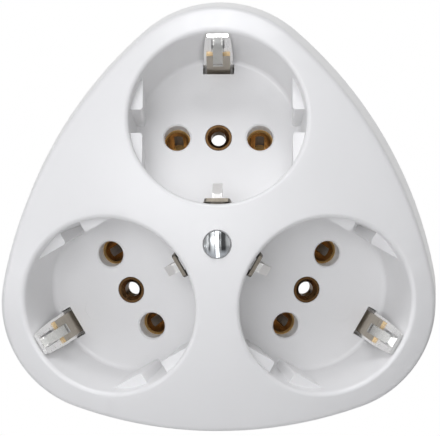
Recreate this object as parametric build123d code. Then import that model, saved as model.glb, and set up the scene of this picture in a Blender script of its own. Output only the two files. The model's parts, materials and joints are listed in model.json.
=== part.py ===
from build123d import *
import os
from math import asin, atan2, cos, degrees, radians, sin, sqrt, tan

# A three-way wall socket: three earthed two-pin cups (type F) in one domed, rounded-triangular
# housing that stands over a single round wall box. Millimetres throughout.
# It is modelled face up, wall plane at z = 0, and turned at the end so that
# X is right, -Y is out of the wall towards the user and Z is up.

# Housing
HOUSING_HEIGHT = 50.0       # wall to the top of the dome
DOME_RADIUS = 104.0         # the cup axes meet in the centre of this sphere
CUP_REACH = 28.14           # screw axis to the middle of the rim of a cup
CORNER_MARGIN = 8.0         # rim of a cup to the foot of the skirt, at a corner
SIDE_RADIUS = 101.5         # the long, slightly bowed sides
SKIRT_DRAFT = 5.0           # degrees
SKIRT_WALL = 2.2
DOME_WALL = 2.4
DOME_EDGE_FILLET = 1.8

# Cups
CUP_RIM_D = 39.7
CUP_FLOOR_D = 38.0
CUP_DEPTH = 17.5
CUP_WALL = 2.0
CUP_FLOOR = 2.4
RIM_FILLET = 1.0
FLOOR_FILLET = 1.2
GUIDE_STAND = 2.2           # how far a guide rib stands in from the wall of the cup, at the floor
GUIDE_BELOW_RIM = 3.8
GUIDE_NOTCH = 5.4
GUIDE_FILLET = 0.7
EJECTOR_MARK_D = 6.0
EJECTOR_MARK = 0.08
EJECTOR_MARK_REACH = 9.5    # outwards from the middle of the floor

# Live contacts
PIN_SPACING = 19.0
PIN_HOLE_D = 6.0
PIN_HOLE_EDGE = 0.35
SLEEVE_SETBACK = 4.0        # cup floor to the mouth of a sleeve
SLEEVE_BORE_D = 5.0
SLEEVE_WALL = 0.6
SLEEVE_BORE_DEPTH = 13.0
SLEEVE_SLOT = 2.1
SLEEVE_RING = 3.4           # closed part in front of the slot
SLEEVE_BACK = 1.6
SLEEVE_MOUTH_CHAMFER = 0.35
TAIL_D = 3.0
TAIL_HEAD_D = 4.6
TAIL_HEAD = 0.7

# Contact carriers
CARRIER_WIDTH = 13.0
CARRIER_PLATE = 3.4
CARRIER_LUG_SPACING = 33.0
CARRIER_EYE_D = 9.0
TOWER_D = 9.2
CARRIER_SCREW_D = 2.6
CARRIER_SCREW_HEAD_D = 4.6
CARRIER_SCREW_HEAD = 1.6
CARRIER_SCREW_GRIP = 1.9    # how far its thread bites into the cup floor

# Earth contacts
STRIP = 0.8
STRIP_WIDTH = 6.6
CLIP_TOP_WIDTH = 5.6
CLIP_TOP_CORNER = 0.8
CLIP_FLOOR_REACH = 16.5     # cup axis to the fold under the floor
CLIP_KNEE = (18.05, 8.0)    # reach and height above the floor, middle of the metal
CLIP_TOP = (19.0, 16.9)
CLIP_FOLD_R = 1.0
CLIP_KNEE_R = 9.0
LEAF = 0.6                  # stiffening leaf in front of the foot of a clip
LEAF_WIDTH = 5.4
LEAF_LENGTH = 10.4
TONGUE_WIDTH = 2.2
TONGUE_NECK = 1.5
TONGUE_NECK_LENGTH = 1.6
TONGUE_GAP = 0.4
TONGUE_ROOT_DROP = 0.45     # below the top of the clip
TONGUE_SHOULDER = (17.65, 15.7)
TONGUE_TIP = (13.9, 11.0)
TONGUE_END = (15.8, 8.2)
TONGUE_TIP_R = 1.0
CLIP_WINDOW_BOTTOM = 9.0

# Eyelets
EYELET_HEAD_D = 6.0
EYELET_HEAD = 0.9
EYELET_MOUTH_D = 5.0
EYELET_BORE_D = 3.4
EYELET_BARREL_D = 4.2
EYELET_FLARE_D = 5.6
EYELET_FLARE = 0.5

# Cover screw
SCREW_D = 3.9
SCREW_HEAD_D = 5.8
SCREW_HEAD = 1.7
SCREW_CROWN = 0.75
SCREW_SINK = 1.3            # seat of the head below the top of the dome
SCREW_SLOT = 0.8
SCREW_SLOT_DEPTH = 1.1
SCREW_TURN = 4.0            # degrees, as it was left
SCREW_TUBE_WALL = 1.3

# Wall bracket
BRACKET = 1.5
BRACKET_END = 3.5           # end of a slot to the end of the strip
BRACKET_WIDTH = 16.0
BOX_SCREW_SPACING = 60.0
BOX_SLOT = 4.2
BOX_SLOT_LENGTH = 9.0
COLLAR_D = 9.0
COLLAR_HEIGHT = 4.5

# Rear plate and its screws
PLATE = 2.4
PLATE_LIFT = 2.1            # wall to the back of the plate
POST_D = 7.0
POST_REACH = 37.8
POST_PILOT_D = 2.4
POST_PILOT_DEPTH = 12.0
PLATE_SCREW_D = 2.9
PLATE_SCREW_HEAD_D = 5.6
PLATE_SCREW_HEAD = 1.7
PLATE_SCREW_LENGTH = 11.0
RIB = 1.6

# Bars and terminals
BAR = 1.0
PAD_D = 7.6
LIVE_RING = (11.5, 15.5)
NEUTRAL_RING = (27.6, 31.4)
EARTH_RING = (5.0, 8.6)
BAR_ARM = 5.0
TERMINAL = (8.0, 7.6, 8.4)  # along the radius, across it, and deep
TERMINAL_CORNER = 0.8
WIRE_BORE_HEIGHT = 5.0      # seat of the block to the middle of the wire
WIRE_BORE_D = 3.4
CLAMP_SCREW_D = 2.9
CLAMP_SCREW_HEAD_D = 4.8
CLAMP_SCREW_HEAD = 1.5
EARTH_TERMINAL_REACH = 22.0
LIVE_TERMINAL_REACH = 16.4
NEUTRAL_TERMINAL_REACH = 24.6

# Clearances
FIT = 0.05                  # a thread or a rivet in its hole, each side
SLIDE = 0.1                 # metal in a moulded seat, each side
LOOSE = 0.3                 # pieces that pass each other
HOLE_PLAY = 0.25            # a screw in a clearance hole, each side

# Derived places
dome_centre_z = HOUSING_HEIGHT - DOME_RADIUS
rim_distance = sqrt(DOME_RADIUS**2 - (CUP_RIM_D / 2)**2)
floor_distance = rim_distance - CUP_DEPTH
cup_tilt = degrees(asin(CUP_REACH / rim_distance))
base_corner_radius = CUP_RIM_D / 2 + CORNER_MARGIN
sleeve_outer_d = SLEEVE_BORE_D + 2 * SLEEVE_WALL
sleeve_mouth = -SLEEVE_SETBACK
sleeve_back = sleeve_mouth - SLEEVE_BORE_DEPTH - SLEEVE_BACK
screw_seat_z = HOUSING_HEIGHT - SCREW_SINK
collar_top = BRACKET + COLLAR_HEIGHT
bracket_length = BOX_SCREW_SPACING + BOX_SLOT_LENGTH + 2 * BRACKET_END
plate_opening_d = 2 * (NEUTRAL_RING[1] + LOOSE)
tube_d = SCREW_D + 2 * HOLE_PLAY + 2 * SCREW_TUBE_WALL
post_foot = PLATE_LIFT + PLATE
carrier_back = -CUP_FLOOR - CARRIER_PLATE
strip_top = -CUP_FLOOR
strip_bottom = strip_top - STRIP

CUPS = {"top": 90, "left": 210, "right": 330}
SIDES = (30, 150, 270)
LIVE_SIDE, NEUTRAL_SIDE, EARTH_SIDE = SIDES
PIN_SIDES = {"live": -1, "neutral": 1}


def cup_plane(angle):
    """The frame of one cup: origin in its floor, x along the pins, y outwards, z out of the cup."""
    out = Vector(sin(radians(cup_tilt)), 0, cos(radians(cup_tilt))).rotate(Axis.Z, angle)
    origin = Vector(0, 0, dome_centre_z) + out * floor_distance
    along_pins = Vector(0, -1, 0).rotate(Axis.Z, angle)
    return Plane(origin=origin, x_dir=along_pins, z_dir=out)


def bearing(vector):
    """Direction of a vector about z, in degrees from x."""
    return degrees(atan2(vector.Y, vector.X))


def side_frame(angle, reach=0, height=0):
    """A frame out along one side: x outwards, y across, z away from the wall."""
    return Location((0, 0, height), (0, 0, angle)) * Location((reach, 0, 0))


def outline(inset, height):
    """The rounded triangle. Its corner arcs are struck from the cup rims, its sides touch them."""
    corner = base_corner_radius - inset
    side = SIDE_RADIUS - inset
    half_gap = CUP_REACH * sin(radians(60))
    side_centre = sqrt((side - corner)**2 - half_gap**2) - CUP_REACH / 2
    touches = []
    for angle in CUPS.values():
        middle = Vector(CUP_REACH, 0).rotate(Axis.Z, angle)
        for turn in (-60, 60):
            centre = Vector(-side_centre, 0).rotate(Axis.Z, angle + turn)
            touches.append(centre + (middle - centre).normalized() * side)
    arcs = []
    for number, angle in enumerate(CUPS.values()):
        start, end = touches[2 * number], touches[2 * number + 1]
        tip = Vector(CUP_REACH + corner, 0).rotate(Axis.Z, angle)
        side_tip = Vector(side - side_centre, 0).rotate(Axis.Z, angle + 60)
        arcs.append(ThreePointArc(start, tip, end))
        arcs.append(ThreePointArc(end, side_tip, touches[(2 * number + 2) % 6]))
    return Pos(0, 0, height) * make_face(arcs)


def drafted(inset, bottom, top):
    """A solid between two heights with the draft of the skirt, set in from its outside."""
    slope = tan(radians(SKIRT_DRAFT))
    return loft([outline(inset + bottom * slope, bottom), outline(inset + top * slope, top)], ruled=True)


def dome(wall):
    """The sphere of the front, its seam turned to where no cup is."""
    return Location((0, 0, dome_centre_z), (0, 0, LIVE_SIDE)) * Sphere(DOME_RADIUS - wall)


def tube(outer_d, inner_d, bottom, top):
    ring = Circle(outer_d / 2) - Circle(inner_d / 2)
    return extrude(Pos(0, 0, bottom) * ring, top - bottom)


def rod(diameter, bottom, top):
    return extrude(Pos(0, 0, bottom) * Circle(diameter / 2), top - bottom)


def turned(points):
    """A body of revolution about z from its (radius, height) corners."""
    return revolve(make_face(Plane.XZ * Polyline(*points, close=True)), Axis.Z)


def cup_radius(height):
    """Inner radius of a cup at a height above its floor."""
    return (CUP_FLOOR_D + (CUP_RIM_D - CUP_FLOOR_D) * height / CUP_DEPTH) / 2


def cup_cone(extra, bottom, top):
    return turned([
        (0, bottom),
        (cup_radius(bottom) + extra, bottom),
        (cup_radius(top) + extra, top),
        (0, top),
    ])


def cup_cavity():
    """The hollow of a cup, its mouth rounded over to meet the dome."""
    slope = (CUP_RIM_D - CUP_FLOOR_D) / 2 / CUP_DEPTH
    lean = sqrt(1 + slope**2)
    start = CUP_FLOOR_D / 2 + RIM_FILLET * lean
    half_b = start * slope + floor_distance
    rest = start**2 + floor_distance**2 - (DOME_RADIUS - RIM_FILLET)**2
    round_height = (sqrt(half_b**2 - lean**2 * rest) - half_b) / lean**2
    centre = Vector(start + slope * round_height, round_height)
    to_dome = Vector(centre.X, centre.Y + floor_distance).normalized() * RIM_FILLET
    to_wall = Vector(-1, slope).normalized() * RIM_FILLET
    wall_end = centre + to_wall
    dome_end = centre + to_dome
    between = centre + (to_dome + to_wall).normalized() * RIM_FILLET
    above = dome_end + to_dome * DOME_WALL
    sides = Polyline(wall_end, (CUP_FLOOR_D / 2, 0), (0, 0), (0, above.Y + DOME_WALL), above, dome_end)
    section = make_face([*sides.edges(), ThreePointArc(dome_end, between, wall_end)])
    body = revolve(Plane.XZ * section, Axis.Z)
    floor_edge = body.edges().filter_by(GeomType.CIRCLE).sort_by(Axis.Z)[0]
    return fillet(floor_edge, FLOOR_FILLET)


def guide_ribs():
    """Two flats with a notch in each, which guide the plug."""
    top = CUP_DEPTH - GUIDE_BELOW_RIM
    ribs = []
    for side in (-1, 1):
        block = Pos(side * CUP_FLOOR_D / 2, 0, top / 2) * Box(
            2 * GUIDE_STAND, CUP_FLOOR_D, top + CUP_FLOOR
        )
        block = block & cup_cone(CUP_WALL / 2, -CUP_FLOOR / 2, top)
        block -= Pos(side * CUP_FLOOR_D / 2, 0, top / 2) * Box(CUP_FLOOR_D, GUIDE_NOTCH, 2 * top)
        corners = [
            edge for edge in block.edges().filter_by(Axis.Z)
            if abs(abs(edge.center().Y) - GUIDE_NOTCH / 2) < 0.01
            and abs(abs(edge.center().X) - CUP_FLOOR_D / 2 + GUIDE_STAND) < 0.01
        ]
        ribs.append(fillet(corners, GUIDE_FILLET))
    return ribs


def foot_reach(height):
    """Cup axis to the middle of the metal of a clip, between its fold and its knee."""
    share = (height - strip_top + STRIP / 2) / (CLIP_KNEE[1] - strip_top + STRIP / 2)
    return CLIP_FLOOR_REACH + share * (CLIP_KNEE[0] - CLIP_FLOOR_REACH)


def floor_cuts():
    """Everything that goes through the floor of a cup."""
    pin_hole = rod(PIN_HOLE_D, -2 * CUP_FLOOR, CUP_FLOOR)
    pin_hole += Cone(PIN_HOLE_D / 2, PIN_HOLE_D / 2 + 2 * PIN_HOLE_EDGE, 2 * PIN_HOLE_EDGE)
    cuts = [Pos(side * PIN_SPACING / 2, 0, 0) * pin_hole for side in (-1, 1)]
    cuts.append(rod(EYELET_HEAD_D + 2 * SLIDE, -EYELET_HEAD, CUP_FLOOR))
    cuts.append(rod(EYELET_BARREL_D + 2 * SLIDE, -2 * CUP_FLOOR, CUP_FLOOR))
    slot_inner = foot_reach(strip_top) - STRIP / 2 - LEAF - LOOSE
    slot_outer = foot_reach(0) + STRIP / 2 + LOOSE
    for side in (-1, 1):
        cuts.append(
            Pos(0, side * (slot_inner + slot_outer) / 2, -CUP_FLOOR / 2)
            * Box(STRIP_WIDTH + 2 * LOOSE, slot_outer - slot_inner, 2 * CUP_FLOOR)
        )
        pilot = Pos(side * CARRIER_LUG_SPACING / 2, 0, 0)
        cuts.append(pilot * rod(CARRIER_SCREW_D + 2 * FIT, -2 * CUP_FLOOR, CARRIER_SCREW_GRIP - CUP_FLOOR + FIT))
    return cuts


def front_cover():
    """The domed front with its skirt, the mouths of the cups, the screw tube and three plate posts."""
    body = drafted(0, 0, HOUSING_HEIGHT) & dome(0)
    edge_loop = [
        edge for edge in body.edges()
        if edge.center().Z > HOUSING_HEIGHT / 2
        and min(Vector(v.X, v.Y).length for v in edge.vertices()) > POST_REACH
    ]
    body = fillet(edge_loop, DOME_EDGE_FILLET)
    hollow = drafted(SKIRT_WALL, -PLATE, HOUSING_HEIGHT) & dome(DOME_WALL)
    hollow -= rod(tube_d, collar_top, HOUSING_HEIGHT)
    for angle in SIDES:
        post = rod(POST_D, post_foot, HOUSING_HEIGHT)
        web = Pos(POST_D / 2, 0, (post_foot + HOUSING_HEIGHT + RIB) / 2) * Box(
            POST_D, RIB, HOUSING_HEIGHT - post_foot - RIB
        )
        hollow -= side_frame(angle, POST_REACH) * post
        hollow -= side_frame(angle, POST_REACH) * web
    body -= hollow
    for angle in CUPS.values():
        body -= cup_plane(angle) * cup_cavity()
    for angle in SIDES:
        body -= side_frame(angle, POST_REACH) * rod(POST_PILOT_D + 2 * FIT, 0, post_foot + POST_PILOT_DEPTH)
    body -= rod(SCREW_D + 2 * HOLE_PLAY, 0, HOUSING_HEIGHT)
    body -= rod(SCREW_HEAD_D + 2 * LOOSE, screw_seat_z, HOUSING_HEIGHT + SCREW_SINK)
    return body


def third(angle):
    """The third of the housing that belongs to one cup, with a gap to its neighbours."""
    far = 2 * DOME_RADIUS
    corners = [(LOOSE, 0), *[(far * 2, side * far * 2 * tan(radians(60))) for side in (-1, 1)]]
    wedge = extrude(make_face(Polyline(*corners, close=True)), HOUSING_HEIGHT)
    return wedge.rotate(Axis.Z, angle)


def cup(angle):
    """One cup: wall, floor and guides. It stands under the dome, round the mouth there."""
    plane = cup_plane(angle)
    body = plane * cup_cone(CUP_WALL, -CUP_FLOOR, CUP_DEPTH + DOME_WALL)
    body = body & dome(DOME_WALL) & third(angle)
    body -= rod(tube_d + 2 * LOOSE, 0, HOUSING_HEIGHT)
    body -= plane * cup_cavity()
    for rib in guide_ribs():
        body += plane * rib
    mark = Pos(0, EJECTOR_MARK_REACH, 0) * rod(EJECTOR_MARK_D, -EJECTOR_MARK, CUP_FLOOR)
    for cut in [*floor_cuts(), mark]:
        body -= plane * cut
    return body


def eyelet():
    """Hollow rivet: sunk head with a funnel, barrel, and a flare behind the earth strip."""
    flare_top = strip_bottom
    back = flare_top - EYELET_FLARE
    return turned([
        (EYELET_BORE_D / 2, back),
        (EYELET_FLARE_D / 2, back),
        (EYELET_FLARE_D / 2, flare_top),
        (EYELET_BARREL_D / 2, flare_top),
        (EYELET_BARREL_D / 2, -EYELET_HEAD),
        (EYELET_HEAD_D / 2, -EYELET_HEAD),
        (EYELET_HEAD_D / 2, 0),
        (EYELET_MOUTH_D / 2, 0),
        (EYELET_BARREL_D / 2, -EYELET_HEAD / 2),
        (EYELET_BORE_D / 2, -EYELET_HEAD),
    ])


def bent_metal(points, radii, thickness, width):
    """A strip bent along (reach, height) points, as wide as given, standing across the reach."""
    path = FilletPolyline(*points, radius=radii) if radii else Polyline(*points)
    section = Plane.YZ * trace_face(path, thickness)
    return extrude(section, width / 2, both=True)


def trace_face(path, thickness):
    """The flat outline of a line with a thickness, ends cut square."""
    near = offset(path, thickness / 2, side=Side.LEFT, closed=False)
    far = offset(path, thickness / 2, side=Side.RIGHT, closed=False)
    ends = [
        Line(near @ 0, far @ 0 if (near @ 0 - far @ 0).length < 2 * thickness else far @ 1),
        Line(near @ 1, far @ 1 if (near @ 1 - far @ 1).length < 2 * thickness else far @ 0),
    ]
    return make_face([*near.edges(), *far.edges(), *ends])


def earth_strip():
    """One punched strip: flat under the floor, a clip bent up at each end with a lanced tongue and a leaf."""
    middle = (strip_top + strip_bottom) / 2
    fold = (CLIP_FLOOR_REACH, middle)
    clip = bent_metal([(0, middle), fold, CLIP_KNEE, CLIP_TOP], [CLIP_FOLD_R, CLIP_KNEE_R], STRIP, STRIP_WIDTH)
    half, top_half = STRIP_WIDTH / 2, CLIP_TOP_WIDTH / 2
    top = CLIP_TOP[1] + STRIP
    blank = make_face(Plane.XZ * Polyline(
        (-half, -CUP_DEPTH), (half, -CUP_DEPTH), (half, CLIP_KNEE[1]), (top_half, CLIP_TOP[1] - CLIP_TOP_CORNER),
        (top_half - CLIP_TOP_CORNER, top), (CLIP_TOP_CORNER - top_half, top),
        (-top_half, CLIP_TOP[1] - CLIP_TOP_CORNER), (-half, CLIP_KNEE[1]), close=True
    ))
    clip &= extrude(blank, CUP_FLOOR_D, both=True)
    window_top = CLIP_TOP[1] - TONGUE_ROOT_DROP - STRIP
    window = Pos(0, CLIP_TOP[0], (window_top + CLIP_WINDOW_BOTTOM) / 2) * Box(
        TONGUE_WIDTH + 2 * TONGUE_GAP, 6 * STRIP, window_top - CLIP_WINDOW_BOTTOM
    )
    clip -= window
    root = (CLIP_TOP[0] - STRIP / 4, CLIP_TOP[1] - TONGUE_ROOT_DROP)
    tongue = bent_metal(
        [root, TONGUE_SHOULDER, TONGUE_TIP, TONGUE_END], [TONGUE_TIP_R / 2, TONGUE_TIP_R], STRIP, TONGUE_WIDTH
    )
    neck_middle = TONGUE_SHOULDER[1] + TONGUE_NECK_LENGTH / 2
    for side in (-1, 1):
        tongue -= Pos(side * (TONGUE_NECK + TONGUE_WIDTH) / 2, TONGUE_SHOULDER[0], neck_middle) * Box(
            TONGUE_WIDTH, 2 * TONGUE_NECK_LENGTH, TONGUE_NECK_LENGTH
        )
    clip += tongue
    leaf_inset = (STRIP + LEAF) / 2
    leaf_start, leaf_end = strip_top + CLIP_FOLD_R, strip_top + LEAF_LENGTH
    leaf_ends = [(foot_reach(height) - leaf_inset, height) for height in (leaf_start, leaf_end)]
    clip += bent_metal(leaf_ends, [], LEAF, LEAF_WIDTH)
    both = clip + clip.mirror(Plane.XZ)
    return both - rod(EYELET_BARREL_D, -2 * CUP_FLOOR, 0)


def pin_bore():
    """Seat of a sleeve in its tower: a narrow neck in front that keeps the sleeve back."""
    seat = rod(sleeve_outer_d + 2 * SLIDE, sleeve_back, sleeve_mouth)
    neck = rod(PIN_HOLE_D, sleeve_mouth, 0)
    return seat + neck


def contact_carrier():
    """Insulating moulding behind one cup: a plate with two towers that hold the sleeves."""
    outline_face = Pos(0, 0, carrier_back) * SlotCenterToCenter(CARRIER_LUG_SPACING, CARRIER_WIDTH / 2)
    block_face = Pos(0, 0, carrier_back) * SlotCenterToCenter(PIN_SPACING, CARRIER_WIDTH)
    body = extrude(outline_face + block_face, CARRIER_PLATE)
    for side in (-1, 1):
        body += Pos(side * PIN_SPACING / 2, 0, 0) * rod(TOWER_D, sleeve_back, carrier_back)
        lug = Pos(side * CARRIER_LUG_SPACING / 2, 0, 0)
        body -= lug * rod(CARRIER_SCREW_D + 2 * HOLE_PLAY, 2 * carrier_back, 0)
    for side in (-1, 1):
        body -= Pos(side * PIN_SPACING / 2, 0, 0) * pin_bore()
    body -= rod(CARRIER_EYE_D, 2 * carrier_back, 0)
    channel = STRIP_WIDTH + 2 * LOOSE
    body -= Pos(0, 0, strip_top - STRIP / 2) * Box(channel, 2 * CARRIER_WIDTH, STRIP)
    return body


def carrier_screws():
    """Two thread-forming screws for each carrier."""
    screws = []
    for angle in CUPS.values():
        for side in (-1, 1):
            shank = rod(CARRIER_SCREW_D, carrier_back, CARRIER_SCREW_GRIP - CUP_FLOOR)
            head = rod(CARRIER_SCREW_HEAD_D, carrier_back - CARRIER_SCREW_HEAD, carrier_back)
            place = Pos(side * CARRIER_LUG_SPACING / 2, 0, 0)
            screws.append((cup_plane(angle) * (place * (shank + head))).solid())
    return Compound(screws)


def pin_sleeve(angle, side):
    """Turned brass sleeve, whole at its mouth and split below it on the side away from the middle."""
    body = rod(sleeve_outer_d, sleeve_back, sleeve_mouth)
    bore = rod(SLEEVE_BORE_D, sleeve_mouth - SLEEVE_BORE_DEPTH, sleeve_mouth)
    mouth = Pos(0, 0, sleeve_mouth - SLEEVE_MOUTH_CHAMFER / 2) * Cone(
        SLEEVE_BORE_D / 2, SLEEVE_BORE_D / 2 + SLEEVE_MOUTH_CHAMFER, SLEEVE_MOUTH_CHAMFER
    )
    slot_top = sleeve_mouth - SLEEVE_RING
    slot_bottom = sleeve_mouth - SLEEVE_BORE_DEPTH
    slot = Pos(0, sleeve_outer_d / 2, (slot_top + slot_bottom) / 2) * Box(
        SLEEVE_SLOT, sleeve_outer_d, slot_top - slot_bottom
    )
    body -= bore + mouth + slot
    tail_end = sleeve_back - BAR
    body += rod(TAIL_D, tail_end, sleeve_back)
    body += rod(TAIL_HEAD_D, tail_end - TAIL_HEAD, tail_end)
    return cup_plane(angle) * (Pos(side * PIN_SPACING / 2, 0, 0) * body)


def pad_point(angle, side, reach):
    """A place on the back of a tower, in housing coordinates."""
    return cup_plane(angle).from_local_coords(Vector(side * PIN_SPACING / 2, reach, sleeve_back - BAR / 2))


def ring_bar(ring, kind, direction, terminal_angle, terminal_reach):
    """A flat ring with one arm and pad for each cup, and a lug that carries the terminal."""
    side = PIN_SIDES[kind]
    edge = pad_point(CUPS["top"], side, direction * PAD_D / 2)
    bottom = edge.Z - BAR / 2
    body = tube(2 * ring[1], 2 * ring[0], bottom, bottom + BAR)
    for angle in CUPS.values():
        pad = rod(PAD_D, sleeve_back - BAR, sleeve_back)
        pad_at = cup_plane(angle) * Pos(side * PIN_SPACING / 2, 0, 0)
        start = pad_point(angle, side, direction * (TAIL_HEAD_D / 2 + LOOSE))
        reach = Vector(start.X, start.Y).length
        goal = (ring[0] + ring[1]) / 2
        arm = Box(abs(goal - reach), BAR_ARM, BAR)
        body += side_frame(bearing(start), (reach + goal) / 2, bottom + BAR / 2) * arm
        body += pad_at * pad
        body -= pad_at * rod(TAIL_D + 2 * FIT, 2 * sleeve_back, sleeve_back)
        body -= pad_at * rod(TOWER_D + 2 * LOOSE, sleeve_back, 0)
    inner = min(ring[0], terminal_reach - TERMINAL[0] / 2)
    outer = max(ring[1], terminal_reach + TERMINAL[0] / 2)
    lug = Pos((inner + outer) / 2, 0, bottom + BAR / 2) * Box(outer - inner, TERMINAL[1], BAR)
    lug = lug & tube(2 * outer, 2 * ring[0] if direction < 0 else 2 * inner, bottom, bottom + BAR)
    body += side_frame(terminal_angle) * lug
    body -= side_frame(terminal_angle, terminal_reach) * rod(CLAMP_SCREW_D + 2 * HOLE_PLAY, 0, HOUSING_HEIGHT)
    return body, bottom


def earth_bar():
    """A ring round the screw tube, an arm welded under each strip, and a leg down to its terminal."""
    arm_inner = CLIP_FOLD_R - CLIP_FLOOR_REACH
    arm_outer = -CARRIER_WIDTH / 2 - LOOSE
    arm_level = strip_bottom - BAR / 2
    inner_end = cup_plane(CUPS["top"]).from_local_coords(Vector(0, arm_inner, arm_level))
    level = inner_end.Z
    body = tube(2 * EARTH_RING[1], 2 * EARTH_RING[0], level - BAR / 2, level + BAR / 2)
    for angle in CUPS.values():
        arm = Pos(0, (arm_inner + arm_outer) / 2, arm_level) * Box(BAR_ARM, arm_outer - arm_inner, BAR)
        body += cup_plane(angle) * arm
        body -= cup_plane(angle) * (Pos(0, 0, strip_bottom + BAR) * Box(PIN_SPACING, 2 * CUP_FLOOR_D, 2 * BAR))
    body -= rod(2 * EARTH_RING[0], 0, HOUSING_HEIGHT)
    foot = earth_terminal_bottom() + TERMINAL[2]
    start = EARTH_RING[1] - BAR
    end = EARTH_TERMINAL_REACH + TERMINAL[0] / 2
    leg = side_frame(EARTH_SIDE) * bent_metal(
        [(start, level), (start + 3 * BAR, level), (start + 4 * BAR, foot + BAR / 2), (end, foot + BAR / 2)],
        [BAR, BAR], BAR, TERMINAL[1]
    ).rotate(Axis.Z, -90)
    body += leg
    return body


def earth_terminal_bottom():
    """Level with the live terminal."""
    return pad_point(CUPS["top"], PIN_SIDES["live"], -PAD_D / 2).Z + BAR / 2


def terminal(angle, reach, bottom):
    """Pillar terminal: wire bore across, clamp screw from the back."""
    body = Pos(0, 0, bottom + TERMINAL[2] / 2) * Box(*TERMINAL)
    body = fillet(body.edges().filter_by(Axis.Z), TERMINAL_CORNER)
    wire_at = bottom + WIRE_BORE_HEIGHT
    body -= Pos(0, 0, wire_at) * Cylinder(WIRE_BORE_D / 2, 2 * TERMINAL[1], rotation=(90, 0, 0))
    body -= rod(CLAMP_SCREW_D + 2 * FIT, bottom, wire_at)
    return side_frame(angle, reach) * body


def clamp_screw(angle, reach, seat, bottom):
    """Slotted cheese-head screw, its head against the bar or the block."""
    tip = bottom + WIRE_BORE_HEIGHT - WIRE_BORE_D / 4
    body = rod(CLAMP_SCREW_D, seat, tip) + rod(CLAMP_SCREW_HEAD_D, seat - CLAMP_SCREW_HEAD, seat)
    body -= Pos(0, 0, seat - CLAMP_SCREW_HEAD) * Box(2 * CLAMP_SCREW_HEAD_D, SCREW_SLOT, CLAMP_SCREW_HEAD)
    return side_frame(angle, reach) * body


def crown_radius():
    """Radius of the low crown of the screw head, from its width and height."""
    return ((SCREW_HEAD_D / 2)**2 + SCREW_CROWN**2) / (2 * SCREW_CROWN)


def cover_screw():
    """Long slotted screw with a low raised head, down the middle into the bracket."""
    crown_top = screw_seat_z + SCREW_HEAD + SCREW_CROWN
    half = SCREW_HEAD_D / 2
    shoulder = screw_seat_z + SCREW_HEAD
    crown = RadiusArc((half, shoulder), (0, crown_top), -crown_radius())
    sides = Polyline((0, crown_top), (0, screw_seat_z), (half, screw_seat_z), (half, shoulder))
    head = revolve(Plane.XZ * make_face([crown, *sides.edges()]), Axis.Z)
    body = head + rod(SCREW_D, BRACKET / 2, screw_seat_z)
    slot = Pos(0, 0, crown_top) * Box(SCREW_SLOT, 2 * SCREW_HEAD_D, 2 * SCREW_SLOT_DEPTH)
    return body - slot.rotate(Axis.Z, SCREW_TURN)


def wall_bracket():
    """Steel strip over the wall box, with slots for the box screws and a tapped collar."""
    body = extrude(RectangleRounded(bracket_length, BRACKET_WIDTH, BRACKET_WIDTH / 4), BRACKET)
    body += rod(COLLAR_D, BRACKET, collar_top)
    body -= rod(SCREW_D + 2 * FIT, 0, collar_top)
    for side in (-1, 1):
        slot = Pos(side * BOX_SCREW_SPACING / 2, 0, 0) * SlotOverall(BOX_SLOT_LENGTH, BOX_SLOT)
        body -= extrude(slot, BRACKET)
    return body


def rear_plate():
    """Insulating frame inside the skirt, open in the middle for the wall box."""
    body = drafted(SKIRT_WALL + LOOSE, PLATE_LIFT, post_foot)
    body -= rod(plate_opening_d, 0, HOUSING_HEIGHT)
    for angle in SIDES:
        hole = rod(PLATE_SCREW_D + 2 * HOLE_PLAY, 0, HOUSING_HEIGHT)
        body -= side_frame(angle, POST_REACH) * hole
    return body


def rear_plate_screws():
    """Three self-tapping screws into the posts."""
    screws = []
    for angle in SIDES:
        shank = rod(POST_PILOT_D, PLATE_LIFT, PLATE_LIFT + PLATE_SCREW_LENGTH)
        head = rod(PLATE_SCREW_HEAD_D, PLATE_LIFT - PLATE_SCREW_HEAD, PLATE_LIFT)
        screws.append((side_frame(angle, POST_REACH) * (shank + head)).solid())
    return Compound(screws)


def all_parts():
    parts = {
        "front_cover": front_cover(),
        "rear_plate": rear_plate(),
        "rear_plate_screws": rear_plate_screws(),
        "wall_bracket": wall_bracket(),
        "cover_screw": cover_screw(),
        "carrier_screws": carrier_screws(),
    }
    for name, angle in CUPS.items():
        plane = cup_plane(angle)
        parts[f"cup_{name}"] = cup(angle)
        parts[f"eyelet_{name}"] = plane * eyelet()
        parts[f"earth_strip_{name}"] = plane * earth_strip()
        parts[f"contact_carrier_{name}"] = plane * contact_carrier()
        for kind, side in PIN_SIDES.items():
            parts[f"{kind}_sleeve_{name}"] = pin_sleeve(angle, side)
    parts["live_busbar"], live_level = ring_bar(LIVE_RING, "live", -1, LIVE_SIDE, LIVE_TERMINAL_REACH)
    parts["neutral_busbar"], neutral_level = ring_bar(
        NEUTRAL_RING, "neutral", 1, NEUTRAL_SIDE, NEUTRAL_TERMINAL_REACH
    )
    parts["earth_busbar"] = earth_bar()
    earth_level = earth_terminal_bottom()
    terminals = {
        "live": (LIVE_SIDE, LIVE_TERMINAL_REACH, live_level + BAR, live_level),
        "neutral": (NEUTRAL_SIDE, NEUTRAL_TERMINAL_REACH, neutral_level + BAR, neutral_level),
        "earth": (EARTH_SIDE, EARTH_TERMINAL_REACH, earth_level, earth_level),
    }
    for kind, (angle, reach, bottom, seat) in terminals.items():
        parts[f"{kind}_terminal"] = terminal(angle, reach, bottom)
        parts[f"{kind}_terminal_screw"] = clamp_screw(angle, reach, seat, bottom)
    return parts


os.makedirs("parts", exist_ok=True)
for node, shape in all_parts().items():
    standing = shape.rotate(Axis.X, 90)
    export_step(standing, f"parts/{node}.step")
    print(f"{node}: {len(standing.solids())} solid(s), {standing.volume:.0f} mm3")
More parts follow.
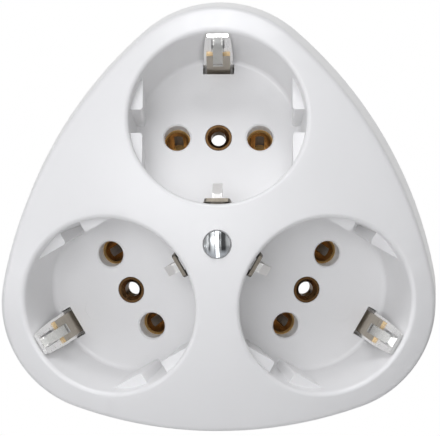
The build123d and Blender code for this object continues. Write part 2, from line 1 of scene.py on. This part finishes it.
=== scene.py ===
# %% [markdown]
# This lesson dresses a triple wall socket: one glossy white moulding with three
# round cups that lean outwards, bronze eyelets, brass pin sleeves, bent earth clips
# and one slotted screw in the middle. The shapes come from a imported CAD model.
# Blender adds smooth shading, materials, lamps and the camera.

# %% Load the CAD model
import json
import math

import bmesh
import bpy
from mathutils import Matrix, Vector


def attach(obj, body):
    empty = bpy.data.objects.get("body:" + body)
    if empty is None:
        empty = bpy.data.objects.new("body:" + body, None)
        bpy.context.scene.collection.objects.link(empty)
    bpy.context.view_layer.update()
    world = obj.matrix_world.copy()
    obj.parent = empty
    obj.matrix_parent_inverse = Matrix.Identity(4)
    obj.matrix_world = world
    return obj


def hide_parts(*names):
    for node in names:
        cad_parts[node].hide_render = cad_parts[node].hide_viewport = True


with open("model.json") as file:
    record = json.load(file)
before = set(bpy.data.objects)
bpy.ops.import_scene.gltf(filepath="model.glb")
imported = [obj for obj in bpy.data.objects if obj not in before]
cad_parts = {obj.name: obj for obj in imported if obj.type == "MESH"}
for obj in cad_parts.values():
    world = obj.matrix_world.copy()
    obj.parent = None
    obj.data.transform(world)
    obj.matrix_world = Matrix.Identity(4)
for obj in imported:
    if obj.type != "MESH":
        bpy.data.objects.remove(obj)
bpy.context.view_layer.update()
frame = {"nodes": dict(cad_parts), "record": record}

# %% [markdown]
# The photograph looks at the socket almost straight on, from a little above and
# to the right, through a long lens. A short lens would make the nearest cup look
# larger than the others, so the camera stands about half a metre away instead.

# %% Camera
CAMERA_PLACE = Vector((0.0079, -0.517, 0.0240))
CAMERA_TARGET = Vector((0.0003, -0.0276, 0.0049))
CAMERA_ROLL = math.radians(-0.13)
SENSOR_WIDTH_MM = 36
LENS_MM = 174.4

camera_data = bpy.data.cameras.new("camera")
camera_data.sensor_width = SENSOR_WIDTH_MM
camera_data.lens = LENS_MM
camera = bpy.data.objects.new("camera", camera_data)
bpy.context.scene.collection.objects.link(camera)
aim = (CAMERA_TARGET - CAMERA_PLACE).to_track_quat("-Z", "Y")
camera.matrix_world = (
    Matrix.Translation(CAMERA_PLACE)
    @ aim.to_matrix().to_4x4()
    @ Matrix.Rotation(CAMERA_ROLL, 4, "Z")
)
bpy.context.scene.camera = camera
print("camera distance:", round((CAMERA_TARGET - CAMERA_PLACE).length, 3))

# %% [markdown]
# Soft studio light from five square lamps, all a little cool. The one overhead
# makes the upper front the brightest part. One by the camera reaches into the pin
# sleeves, and one stands to its left. Two more stand far to the left, high and low,
# so the left walls of the cups lie in shade. One large lamp would be simpler, but
# it would light every wall of the cups alike.

# %% Lamps
LAMP_SIZE = 0.5
LAMP_COLOUR = (0.965, 0.972, 1.0)
LAMP_TARGET = Vector((0, -0.02, 0))


def add_lamp(name, place, watts):
    """A square area lamp at place that shines on the socket."""
    data = bpy.data.lights.new(name, "AREA")
    data.size = LAMP_SIZE
    data.color = LAMP_COLOUR
    data.energy = watts
    lamp = bpy.data.objects.new(name, data)
    bpy.context.scene.collection.objects.link(lamp)
    place = Vector(place)
    aim = (LAMP_TARGET - place).to_track_quat("-Z", "Y")
    lamp.matrix_world = Matrix.Translation(place) @ aim.to_matrix().to_4x4()


add_lamp("top", (0.0, -0.6, 1.05), 6.5)
add_lamp("front", (-0.35, -1.1, 0.3), 2.6)
add_lamp("camera_side", (0.0, -1.2, 0.1), 2.2)
add_lamp("side", (-1.1, -0.35, 0.3), 0.7)
add_lamp("low_side", (-1.0, -0.6, -0.4), 5.5)
print("lamps:", [lamp.name for lamp in bpy.data.lights])

# %% [markdown]
# The world is pure white where the camera looks past the object, and where metal
# or gloss mirrors it. Plastic is lit by a much dimmer white, so that the lamps can
# still model its shape. The light path tells the two kinds of ray apart.

# %% World
WORLD_LEVEL = 0.11

world = bpy.data.worlds.new("studio")
bpy.context.scene.world = world
world.use_nodes = True
sky = world.node_tree
sky.nodes.clear()


def larger_of(first, second):
    """The larger of two values in the world's node tree."""
    larger = sky.nodes.new("ShaderNodeMath")
    larger.operation = "MAXIMUM"
    sky.links.new(first, larger.inputs[0])
    sky.links.new(second, larger.inputs[1])
    return larger.outputs["Value"]


rays = sky.nodes.new("ShaderNodeLightPath").outputs
seen = larger_of(rays["Is Camera Ray"], rays["Is Glossy Ray"])
seen = larger_of(seen, rays["Is Transmission Ray"])
level = sky.nodes.new("ShaderNodeMapRange")
level.inputs["To Min"].default_value = WORLD_LEVEL
level.inputs["To Max"].default_value = 1.0
sky.links.new(seen, level.inputs["Value"])
background = sky.nodes.new("ShaderNodeBackground")
background.inputs["Color"].default_value = (1, 1, 1, 1)
sky.links.new(level.outputs["Result"], background.inputs["Strength"])
sky_out = sky.nodes.new("ShaderNodeOutputWorld")
sky.links.new(background.outputs["Background"], sky_out.inputs["Surface"])
bpy.context.scene.view_settings.view_transform = "Standard"
print("world level:", WORLD_LEVEL)

# %% [markdown]
# A pale floor lies well below the socket, out of the picture, and takes its soft
# shadow. The socket hangs on a wall in use, so nothing touches the floor.

# %% Floor
FLOOR_DROP = 0.25
FLOOR_HALF_WIDTH = 1.2
FLOOR_WHITE = (0.9, 0.9, 0.9, 1)

floor_mesh = bpy.data.meshes.new("floor")
shape = bmesh.new()
bmesh.ops.create_grid(shape, x_segments=1, y_segments=1, size=FLOOR_HALF_WIDTH)
bmesh.ops.translate(shape, verts=shape.verts, vec=(0, 0, -FLOOR_DROP))
shape.to_mesh(floor_mesh)
shape.free()
floor = bpy.data.objects.new("floor", floor_mesh)
bpy.context.scene.collection.objects.link(floor)
floor_paint = bpy.data.materials.new("floor_paint")
floor_paint.use_nodes = True
floor_shader = floor_paint.node_tree.nodes["Principled BSDF"]
floor_shader.inputs["Base Color"].default_value = FLOOR_WHITE
floor_mesh.materials.append(floor_paint)
print("floor height:", -FLOOR_DROP)

# %% [markdown]
# Every finish starts the same way: one principled shader, and noise patterns on
# the object's own coordinates. A pattern on the camera's view would swim over the
# piece, but this one stays on it from every side.

# %% Helpers for patterns
def finish_material(name, metallic, roughness, ior=1.5):
    """A new material, its node tree and its shader, with the values that stay fixed."""
    material = bpy.data.materials.new(name)
    material.use_nodes = True
    shader = material.node_tree.nodes["Principled BSDF"]
    shader.inputs["Metallic"].default_value = metallic
    shader.inputs["Roughness"].default_value = roughness
    shader.inputs["IOR"].default_value = ior
    return material, material.node_tree, shader


def noise_on(tree, scale, detail=2.0, stretch=(1, 1, 1), turn=(0, 0, 0)):
    """A noise value on Object coordinates. scale is in cells per metre."""
    coordinates = tree.nodes.new("ShaderNodeTexCoord")
    mapping = tree.nodes.new("ShaderNodeMapping")
    mapping.vector_type = "TEXTURE"
    mapping.inputs["Rotation"].default_value = turn
    mapping.inputs["Scale"].default_value = stretch
    noise = tree.nodes.new("ShaderNodeTexNoise")
    noise.inputs["Scale"].default_value = scale
    noise.inputs["Detail"].default_value = detail
    tree.links.new(coordinates.outputs["Object"], mapping.inputs["Vector"])
    tree.links.new(mapping.outputs["Vector"], noise.inputs["Vector"])
    return noise.outputs["Fac"]


print("pattern helpers:", finish_material.__name__, noise_on.__name__)

# %% [markdown]
# A noise value stays near one half. To use its whole swing, the part from 0.3 to
# 0.7 is stretched over the range that a roughness needs.

# %% Helpers for colour, gloss and relief
NOISE_LOW, NOISE_HIGH = 0.3, 0.7


def spread(tree, pattern, socket, low, high):
    """Lets a pattern move a shader value between low and high."""
    ramp = tree.nodes.new("ShaderNodeMapRange")
    ramp.inputs["From Min"].default_value = NOISE_LOW
    ramp.inputs["From Max"].default_value = NOISE_HIGH
    ramp.inputs["To Min"].default_value = low
    ramp.inputs["To Max"].default_value = high
    tree.links.new(pattern, ramp.inputs["Value"])
    tree.links.new(ramp.outputs["Result"], socket)


def tint(tree, pattern, shader, dark, light):
    """Lets a pattern move the base colour between two near colours."""
    mix = tree.nodes.new("ShaderNodeMix")
    mix.data_type = "RGBA"
    mix.inputs["A"].default_value = (*dark, 1)
    mix.inputs["B"].default_value = (*light, 1)
    tree.links.new(pattern, mix.inputs["Factor"])
    tree.links.new(mix.outputs["Result"], shader.inputs["Base Color"])


def bump_from(tree, pattern, shader, height):
    """A fine relief. height is the relief's real height in metres."""
    bump = tree.nodes.new("ShaderNodeBump")
    bump.inputs["Strength"].default_value = 1.0
    bump.inputs["Distance"].default_value = height
    tree.links.new(pattern, bump.inputs["Height"])
    tree.links.new(bump.outputs["Normal"], shader.inputs["Normal"])


print("noise is used from", NOISE_LOW, "to", NOISE_HIGH)

# %% [markdown]
# The housing is injection-moulded white plastic. It has a soft gloss, a very faint
# waviness from the mould, and small patches that are a little duller. Three noises
# of different sizes give these one by one, so each can be set by itself.

# %% White housing plastic
housing, tree, shader = finish_material("housing_white", 0.0, 0.3, ior=1.49)
waves = noise_on(tree, 60.0, detail=1.0)
tint(tree, waves, shader, (0.850, 0.847, 0.848), (0.870, 0.867, 0.868))
patches = noise_on(tree, 400.0)
spread(tree, patches, shader.inputs["Roughness"], 0.28, 0.36)
pores = noise_on(tree, 2500.0)
bump_from(tree, pores, shader, 0.000001)
print("finish:", housing.name)

# %% [markdown]
# The carriers behind the cups are a whiter, duller plastic. A strip of it shows
# through the slot of every sleeve. The rear frame is a pale grey one. Both have a
# fine grain, as a sparked mould leaves it.

# %% Insulator and rear plate plastics
GRAIN_SCALE = 1500.0


def grained_plastic(name, roughness, dark, light, grain_height):
    """A dull plastic with one grain for its colour and its relief."""
    plastic, tree, shader = finish_material(name, 0.0, roughness)
    grain = noise_on(tree, GRAIN_SCALE, detail=3.0)
    tint(tree, grain, shader, dark, light)
    bump_from(tree, grain, shader, grain_height)
    return plastic


insulator = grained_plastic(
    "insulator_pale", 0.5, (0.93, 0.92, 0.90), (0.96, 0.95, 0.93), 0.000004
)
rear_plastic = grained_plastic(
    "rear_plastic", 0.45, (0.66, 0.66, 0.65), (0.72, 0.72, 0.71), 0.000006
)
print("finishes:", insulator.name, rear_plastic.name)

# %% [markdown]
# Three metals are copper alloys. The eyelets are a bronze brown, painted darker as a
# painted reflection of the dark surroundings they mirror. The pin sleeves are a warm
# brass, and the bars behind the cups are paler. On all of them the same noise moves
# colour and gloss together, because tarnish is both darker and duller than clean metal.

# %% Bronze and brass
def worn_metal(name, roughness, scale, dark, light, gloss=None, metallic=1.0):
    """A metal with one noise for its colour and, where gloss gives a range, its gloss."""
    metal, tree, shader = finish_material(name, metallic, roughness)
    marks = noise_on(tree, scale, detail=3.0)
    tint(tree, marks, shader, dark, light)
    if gloss:
        spread(tree, marks, shader.inputs["Roughness"], *gloss)
    return metal


# The eyelets' base colour is painted darker, as a painted reflection of dark surroundings.
bronze_painted_dark = worn_metal(
    "bronze_painted_dark_reflection", 0.3, 700.0, (0.08, 0.041, 0.017), (0.17, 0.098, 0.043), gloss=(0.24, 0.36)
)
sleeve_brass = worn_metal(
    "sleeve_brass", 0.3, 700.0, (0.38, 0.23, 0.085), (0.54, 0.35, 0.145), gloss=(0.26, 0.4)
)
brass = worn_metal(
    "contact_brass", 0.28, 900.0, (0.62, 0.44, 0.20), (0.74, 0.56, 0.29), gloss=(0.22, 0.34)
)
print("finishes:", bronze_painted_dark.name, sleeve_brass.name, brass.name)

# %% [markdown]
# The earth clips are nickel-plated strip, bright and nearly white. Where the outer
# leaf was sheared, its top edge shows the golden metal under the plating. The other
# screws and the bracket are bright zinc.

# %% Nickel, cut edge and zinc
nickel = worn_metal(
    "nickel_plate", 0.22, 1200.0, (0.91, 0.90, 0.885), (0.97, 0.965, 0.955), gloss=(0.18, 0.3)
)
cut_edge = worn_metal(
    "cut_edge", 0.3, 1500.0, (0.24, 0.175, 0.10), (0.38, 0.29, 0.17), gloss=(0.25, 0.4)
)
zinc = worn_metal(
    "zinc_steel", 0.2, 1500.0, (0.70, 0.72, 0.75), (0.82, 0.84, 0.87), gloss=(0.14, 0.26)
)
print("finishes:", nickel.name, cut_edge.name, zinc.name)

# %% [markdown]
# The tongues and edges of the clips differ from the plate around them. An outer
# tongue is painted a darker grey, as painted shade. An inner tongue faces the cup's
# wall and would only mirror it, so its satin finish is half metal and half matt white.
# The rest of the inner clip, seen edge-on, is painted a dark brown-grey as shade.

# %% Tongues and edges of the clips
satin = worn_metal(
    "satin_nickel", 0.4, 1200.0, (0.90, 0.89, 0.87), (0.96, 0.95, 0.94), metallic=0.5
)
# Painted shade: the outer tongue gets a darker grey than the nickel plate around it.
nickel_painted_shade = worn_metal(
    "nickel_painted_shade", 0.26, 1200.0, (0.50, 0.50, 0.485), (0.64, 0.64, 0.625)
)
# Painted shade: the rest of the inner clip, seen edge-on, gets a dark brown-grey.
inner_clip_painted_shade = worn_metal(
    "inner_clip_painted_shade", 0.4, 1500.0, (0.12, 0.108, 0.088), (0.24, 0.215, 0.18)
)
print("finishes:", satin.name, nickel_painted_shade.name, inner_clip_painted_shade.name)

# %% [markdown]
# The head of the cover screw carries painted reflections: bands of dark and bright
# grey run along its slot and stand in for what its crown mirrors. Each band is a
# place over the head's width, from 0 at its left rim to 1 at its right, with a grey.
# Noise moves the bands a little, so they don't look ruled.

# %% Painted reflection bands along the slot of the screw
HEAD_RADIUS = 0.0029
BAND_WANDER = 0.08
BAND_TINT = Vector((0.95, 0.98, 1.0))
# The greys of these bands are painted reflections of the crown's surroundings.
REFLECTION_BANDS = (
    (0.00, 0.22), (0.09, 0.30), (0.15, 0.70), (0.22, 0.07), (0.27, 0.50), (0.33, 0.75),
    (0.39, 0.70), (0.41, 0.06), (0.44, 0.62), (0.50, 0.85), (0.56, 0.72), (0.585, 0.05),
    (0.63, 0.34), (0.67, 0.05), (0.80, 0.07), (0.86, 0.36), (1.00, 0.50),
)


def painted_reflection_bands(tree, x_place, marks):
    """The painted reflection colour of the bands at a place along X, moved by the marks."""
    across = tree.nodes.new("ShaderNodeMapRange")
    across.inputs["From Min"].default_value = -HEAD_RADIUS
    across.inputs["From Max"].default_value = HEAD_RADIUS
    tree.links.new(x_place, across.inputs["Value"])
    moved = tree.nodes.new("ShaderNodeMath")
    moved.operation = "MULTIPLY_ADD"
    moved.inputs[1].default_value = BAND_WANDER
    tree.links.new(marks, moved.inputs[0])
    tree.links.new(across.outputs["Result"], moved.inputs[2])
    centred = tree.nodes.new("ShaderNodeMath")
    centred.operation = "SUBTRACT"
    centred.inputs[1].default_value = BAND_WANDER / 2
    tree.links.new(moved.outputs["Value"], centred.inputs[0])
    bands = tree.nodes.new("ShaderNodeValToRGB")
    stops = bands.color_ramp.elements
    for index, (where, grey) in enumerate(REFLECTION_BANDS):
        stop = stops[index] if index < 2 else stops.new(where)
        stop.position = where
        stop.color = (*(BAND_TINT * grey), 1)
    tree.links.new(centred.outputs["Value"], bands.inputs["Fac"])
    return bands.outputs["Color"]


print("bands:", len(REFLECTION_BANDS))

# %% [markdown]
# The lowest part of the head is one even grey. It fades in below the middle, along
# the object's Z, and covers the painted reflection bands there.

# %% Screw head with painted reflections
LOWER_HEAD_FROM, LOWER_HEAD_TO = -0.0011, -0.0021
LOWER_HEAD_GREY = (0.60, 0.63, 0.66, 1)

# This finish paints the reflections of the screw's crown into its base colour as bands.
reflection_zinc, tree, shader = finish_material("zinc_painted_reflections", 1.0, 0.24)
marks = noise_on(tree, 700.0)
coordinates = tree.nodes.new("ShaderNodeTexCoord")
axes = tree.nodes.new("ShaderNodeSeparateXYZ")
tree.links.new(coordinates.outputs["Object"], axes.inputs["Vector"])
lower_head_fade = tree.nodes.new("ShaderNodeMapRange")
lower_head_fade.inputs["From Min"].default_value = LOWER_HEAD_FROM
lower_head_fade.inputs["From Max"].default_value = LOWER_HEAD_TO
tree.links.new(axes.outputs["Z"], lower_head_fade.inputs["Value"])
blend = tree.nodes.new("ShaderNodeMix")
blend.data_type = "RGBA"
blend.inputs["B"].default_value = LOWER_HEAD_GREY
tree.links.new(lower_head_fade.outputs["Result"], blend.inputs["Factor"])
tree.links.new(painted_reflection_bands(tree, axes.outputs["X"], marks), blend.inputs["A"])
tree.links.new(blend.outputs["Result"], shader.inputs["Base Color"])
print("finish:", reflection_zinc.name)

# %% [markdown]
# The brushed leaf needs streaks that run across it, and each of the three cups
# leans its own way. The record gives every pin's place and axis, and from these
# come the three directions of each cup: along the pins, outwards, and out of the
# cup. Reading them there keeps the finish right if the cups ever lean differently.

# %% Directions of the cups
CUP_NAMES = ("top", "left", "right")
PIN_MIDDLE_DEPTH = 0.010675
mounts = {mount["name"]: mount for mount in frame["record"]["mounts"]}


def cup_frame(cup):
    """The matrix from a cup's own directions to the model's, at the middle of its floor."""
    live = Vector(mounts["live_pin_" + cup]["pos_m"])
    neutral = Vector(mounts["neutral_pin_" + cup]["pos_m"])
    out = Vector(mounts["live_pin_" + cup]["axis"]).normalized()
    along = (neutral - live).normalized()
    outward = out.cross(along)
    turn = Matrix((along, outward, out)).transposed().to_4x4()
    return Matrix.Translation((live + neutral) / 2 + out * PIN_MIDDLE_DEPTH) @ turn


for cup in CUP_NAMES:
    print("floor of cup", cup, tuple(round(value, 4) for value in cup_frame(cup).translation))

# %% [markdown]
# Seen close, the leaf in front of an outer foot has fine streaks across it. Its
# brownish grey, darker than the nickel of the rest of the strip, is partly painted
# shade. The noise is turned into each cup's own directions and stretched along the
# pins. A bump would be too coarse for brushing this fine, so the streaks are only in
# colour and gloss.

# %% Brushed leaf with painted shade, for each cup
STREAK_SCALE = 4500.0
STREAK_STRETCH = (25, 1, 1)

shaded_leaf_finish = {}
for cup in CUP_NAMES:
    # Painted shade, in part: the leaf's base colour is darker than the strip's nickel.
    shaded_leaf_finish[cup], tree, shader = finish_material("brushed_leaf_painted_shade_" + cup, 1.0, 0.32)
    turn = cup_frame(cup).to_euler()
    streaks = noise_on(tree, STREAK_SCALE, detail=3.0, stretch=STREAK_STRETCH, turn=turn)
    tint(tree, streaks, shader, (0.34, 0.30, 0.245), (0.54, 0.50, 0.44))
    spread(tree, streaks, shader.inputs["Roughness"], 0.26, 0.42)
print("leaf finishes:", len(shaded_leaf_finish))

# %% [markdown]
# A imported CAD node is loose triangles. A smooth copy joins their corners, and then
# only the edges that really turn stay sharp, so the dome and the cups shade as
# one smooth surface. The copy takes the node's place, and the node itself is hidden.

# %% Smooth copies of the CAD nodes
SHARP_ANGLE = math.radians(32)
SAME_CORNER = 1e-7


def smooth_copy(node, materials, finish_index=None):
    """A merged copy of a CAD node that stands in for it, with its finishes."""
    mesh = frame["nodes"][node].data.copy()
    mesh.name = node + "_skin"
    mesh.materials.clear()
    for material in materials:
        mesh.materials.append(material)
    shape = bmesh.new()
    shape.from_mesh(mesh)
    bmesh.ops.remove_doubles(shape, verts=shape.verts, dist=SAME_CORNER)
    for face in shape.faces:
        face.smooth = True
        face.material_index = finish_index(face) if finish_index else 0
    for edge in shape.edges:
        edge.smooth = edge.calc_face_angle(0.0) < SHARP_ANGLE
    shape.to_mesh(mesh)
    shape.free()
    piece = bpy.data.objects.new(node + "_skin", mesh)
    bpy.context.scene.collection.objects.link(piece)
    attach(piece, "root")
    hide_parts(node)
    return piece


print("edges stay sharp above", round(math.degrees(SHARP_ANGLE)), "degrees")

# %% [markdown]
# The cover and the three cups are one white moulding on the real socket. They meet
# flush at the mouths of the cups, so the same finish hides where they join.

# %% Housing
for node in ("front_cover", "cup_top", "cup_left", "cup_right"):
    piece = smooth_copy(node, [housing])
    print(piece.name, "triangles:", len(piece.data.polygons))

# %% [markdown]
# Each earth strip gets six finishes: nickel all over, the brushed leaf with painted
# shade in front of the outer foot, the cut edge on top of that leaf, satin nickel on
# the inner tongue, a dark painted shade on the rest of the inner clip, which is seen
# edge-on, and a darker grey nickel as painted shade on the outer tongue. They are
# found by their place in the cup's own directions, in millimetres: the height above
# the floor, and the distance in from the strip. That needs no separate meshes, so the
# strip stays the one piece that it is.

# %% Finishes of an earth strip
# The outer tongue and the inner clip outside its tongue get painted shade, the leaf partly.
PLATE, SHADED_LEAF, CUT_EDGE, INNER_TONGUE, INNER_CLIP_SHADE, OUTER_TONGUE_SHADE = range(6)
FOOT_AT_FLOOR = 16.90
FOOT_LEAN = 0.1435
LEAF_FOOT, LEAF_TOP = -2.0, 8.0
LEAF_FRONT, LEAF_BACK = 1.05, 0.42
EDGE_BAND = 0.1
TONGUE_REACH = 2.0
MM_PER_M = 1000


def strip_finish(cup):
    """A rule that gives each face of a cup's strip the number of its finish."""
    to_cup = cup_frame(cup).inverted()

    def finish_index(face):
        place = to_cup @ face.calc_center_median() * MM_PER_M
        inset = FOOT_AT_FLOOR + FOOT_LEAN * place.z - abs(place.y)
        in_cup = place.z > 0
        in_tongue = inset > LEAF_FRONT and abs(place.x) < TONGUE_REACH and in_cup
        if place.y < 0 and in_cup:
            return INNER_TONGUE if in_tongue else INNER_CLIP_SHADE
        if in_tongue:
            return OUTER_TONGUE_SHADE
        in_leaf = LEAF_FOOT <= place.z <= LEAF_TOP + EDGE_BAND and LEAF_BACK < inset < LEAF_FRONT
        if not in_leaf:
            return PLATE
        return CUT_EDGE if place.z > LEAF_TOP - EDGE_BAND else SHADED_LEAF

    return finish_index


print("finishes of a strip:", OUTER_TONGUE_SHADE + 1)

# %% [markdown]
# The three strips are alike, so one loop dresses them. Only the leaf's finish
# differs, because its streaks follow the cup.

# %% Earth strips
for cup in CUP_NAMES:
    finishes = [nickel, shaded_leaf_finish[cup], cut_edge, satin, inner_clip_painted_shade, nickel_painted_shade]
    piece = smooth_copy("earth_strip_" + cup, finishes, strip_finish(cup))
    indices = [face.material_index for face in piece.data.polygons]
    counts = [indices.count(index) for index in range(len(finishes))]
    print(piece.name, "triangles of each finish:", counts)

# %% [markdown]
# Eyelets, sleeves and the towers of the carriers have round walls that would show
# facets, so they are smoothed in the same way.

# %% Eyelets, sleeves and carriers
for cup in CUP_NAMES:
    smooth_copy("eyelet_" + cup, [bronze_painted_dark])
    smooth_copy("live_sleeve_" + cup, [sleeve_brass])
    smooth_copy("neutral_sleeve_" + cup, [sleeve_brass])
    smooth_copy("contact_carrier_" + cup, [insulator])
print("cups fitted:", len(CUP_NAMES))

# %% [markdown]
# Only the head of the cover screw carries the painted reflections. Its faces are the
# ones near the front of the screw, and the shank behind them keeps its clean zinc.

# %% Cover screw
HEAD_DEPTH = 0.0026
head_front = min(vertex.co.y for vertex in frame["nodes"]["cover_screw"].data.vertices)


def head_or_shank(face):
    """The number of the finish of one face of the cover screw."""
    return 1 if face.calc_center_median().y < head_front + HEAD_DEPTH else 0


screw = smooth_copy("cover_screw", [zinc, reflection_zinc], head_or_shank)
print(screw.name, "triangles:", len(screw.data.polygons))

# %% [markdown]
# The other nodes keep their CAD meshes and only get their finish. They are flat
# sheet and small screws behind the cups, where facets don't show. A node's finish
# is found by the longest part of its name that the list holds.

# %% Finishes of the CAD nodes
FINISH_OF = {
    "cover": housing,
    "cup_": housing,
    "rear_plate": rear_plastic,
    "contact_carrier": insulator,
    "rear_plate_screws": zinc,
    "carrier_screws": zinc,
    "cover_screw": zinc,
    "wall_bracket": zinc,
    "terminal_screw": zinc,
    "earth_strip": nickel,
    "eyelet": bronze_painted_dark,
    "sleeve": sleeve_brass,
    "busbar": brass,
    "terminal": brass,
}


def finish_of(name):
    """The finish whose key is the longest one in the node's name."""
    keys = [key for key in FINISH_OF if key in name]
    return FINISH_OF[max(keys, key=len)]


for name, node in frame["nodes"].items():
    finish = finish_of(name)
    if not node.material_slots:
        node.data.materials.append(finish)
    for material_slot in node.material_slots:
        material_slot.material = finish
print("finished nodes:", len(frame["nodes"]))
